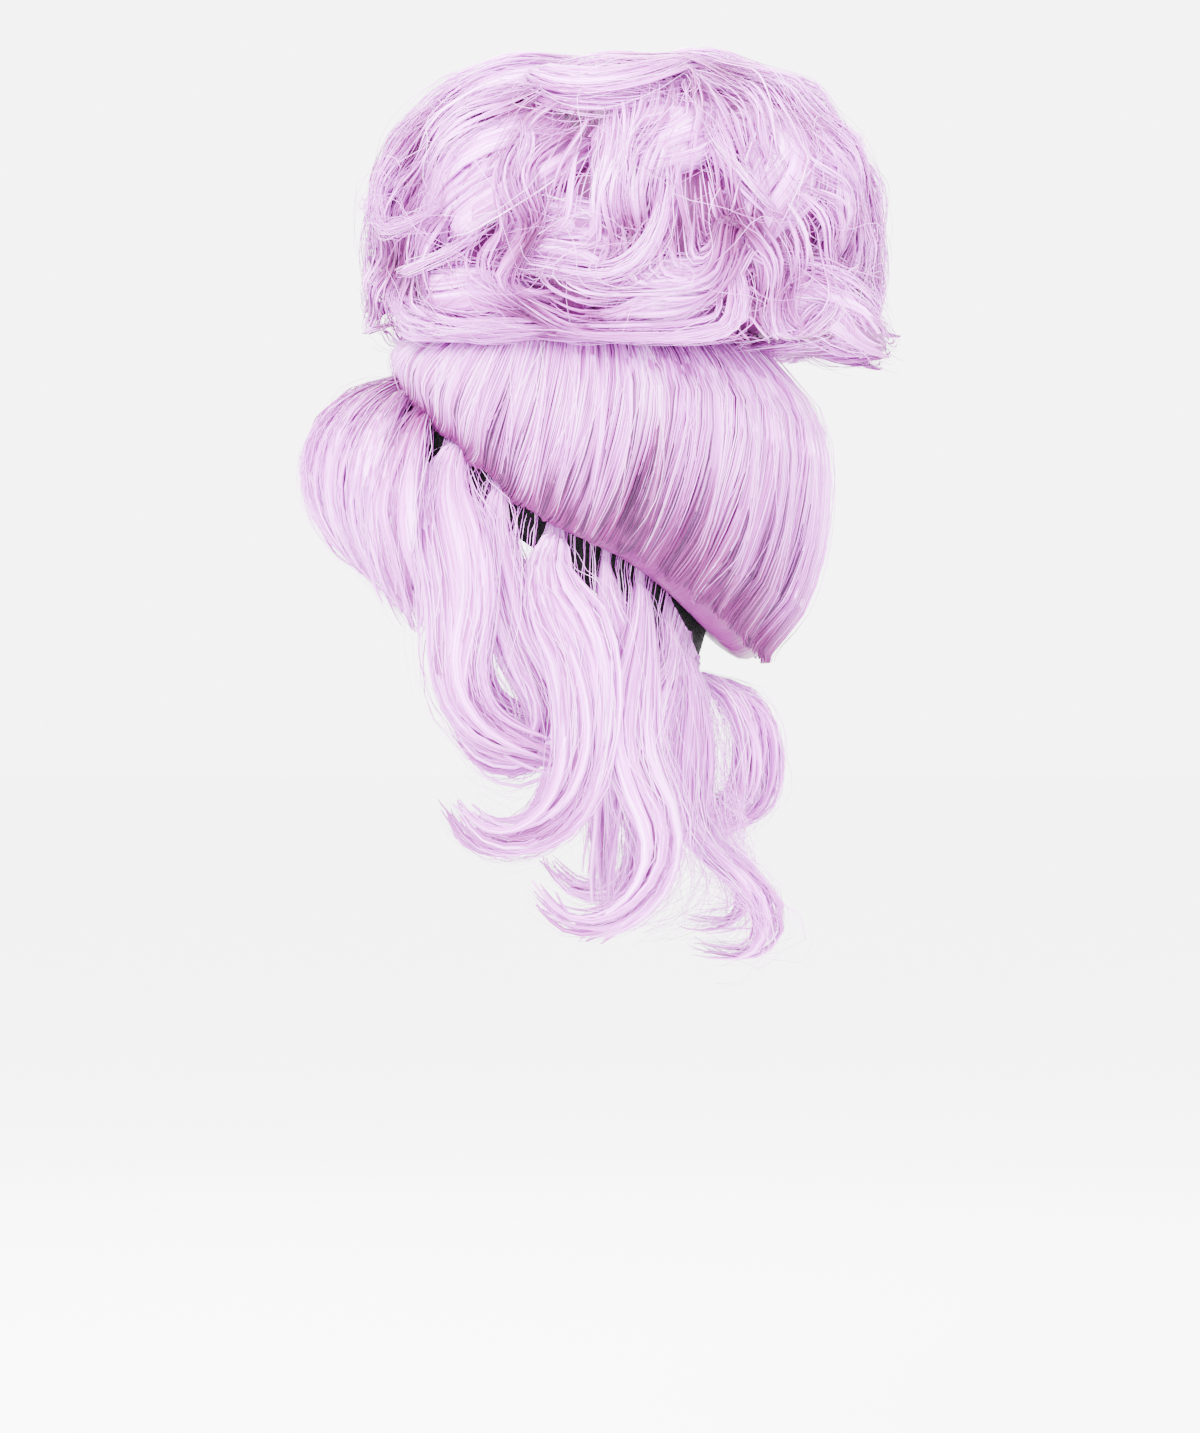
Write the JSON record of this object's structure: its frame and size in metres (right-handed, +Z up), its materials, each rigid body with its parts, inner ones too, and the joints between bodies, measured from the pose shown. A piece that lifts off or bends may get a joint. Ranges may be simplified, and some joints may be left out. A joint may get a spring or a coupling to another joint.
{
  "type": "updo costume wig",
  "caption": "Lilac costume wig with a swept-up crown, a tall pile of curls, a rounded fringe and long waves hanging from a black stretch cap.",
  "frame": {"origin": "inside the cap, where it rests on the top of the head", "axes": "+Z up, -Y the way the face looks, +X the wearer's left"},
  "size_m": [0.2406, 0.3133, 0.4666],
  "materials": {
    "lilac_hair": "glossy synthetic fibre in fine lilac strands, pale where it shines and orchid at the roots",
    "teased_hair": "teased and frizzed synthetic fibre, in the shade between the curls",
    "cap_net": "matt black stretch net"
  },
  "bodies": {
    "root": {"bun_back_curl": "lilac_hair", "bun_brow_left": "lilac_hair", "bun_brow_right": "lilac_hair", "bun_crest_left": "lilac_hair", "bun_crest_right": "lilac_hair", "bun_cross_left": "lilac_hair", "bun_cross_right": "lilac_hair", "bun_flick_left": "lilac_hair", "bun_flick_right": "lilac_hair", "bun_front_curl": "lilac_hair", "bun_low_front_left": "lilac_hair", "bun_low_front_right": "lilac_hair", "bun_low_loop_left": "lilac_hair", "bun_low_loop_right": "lilac_hair", "bun_middle_left": "lilac_hair", "bun_middle_right": "lilac_hair", "bun_outer_left": "lilac_hair", "bun_outer_right": "lilac_hair", "bun_pad": "teased_hair", "bun_ridge_left": "lilac_hair", "bun_ridge_right": "lilac_hair", "bun_shoulder_left": "lilac_hair", "bun_shoulder_right": "lilac_hair", "cheek_lock_left": "lilac_hair", "cheek_lock_right": "lilac_hair", "collar_lock_left": "lilac_hair", "collar_lock_right": "lilac_hair", "corner_lock_left": "lilac_hair", "corner_lock_right": "lilac_hair", "crown_sweep": "lilac_hair", "ear_lock_left": "lilac_hair", "ear_lock_right": "lilac_hair", "fringe_lock_1": "lilac_hair", "fringe_lock_2": "lilac_hair", "fringe_lock_3": "lilac_hair", "fringe_lock_4": "lilac_hair", "fringe_lock_5": "lilac_hair", "fringe_lock_6": "lilac_hair", "fringe_lock_7": "lilac_hair", "nape_lock_left": "lilac_hair", "nape_lock_middle": "lilac_hair", "nape_lock_right": "lilac_hair", "neck_lock_left": "lilac_hair", "neck_lock_right": "lilac_hair", "shoulder_lock_left": "lilac_hair", "shoulder_lock_right": "lilac_hair", "temple_lock_left": "lilac_hair", "temple_lock_right": "lilac_hair", "wig_cap": "cap_net"}
  },
  "joints": []
}
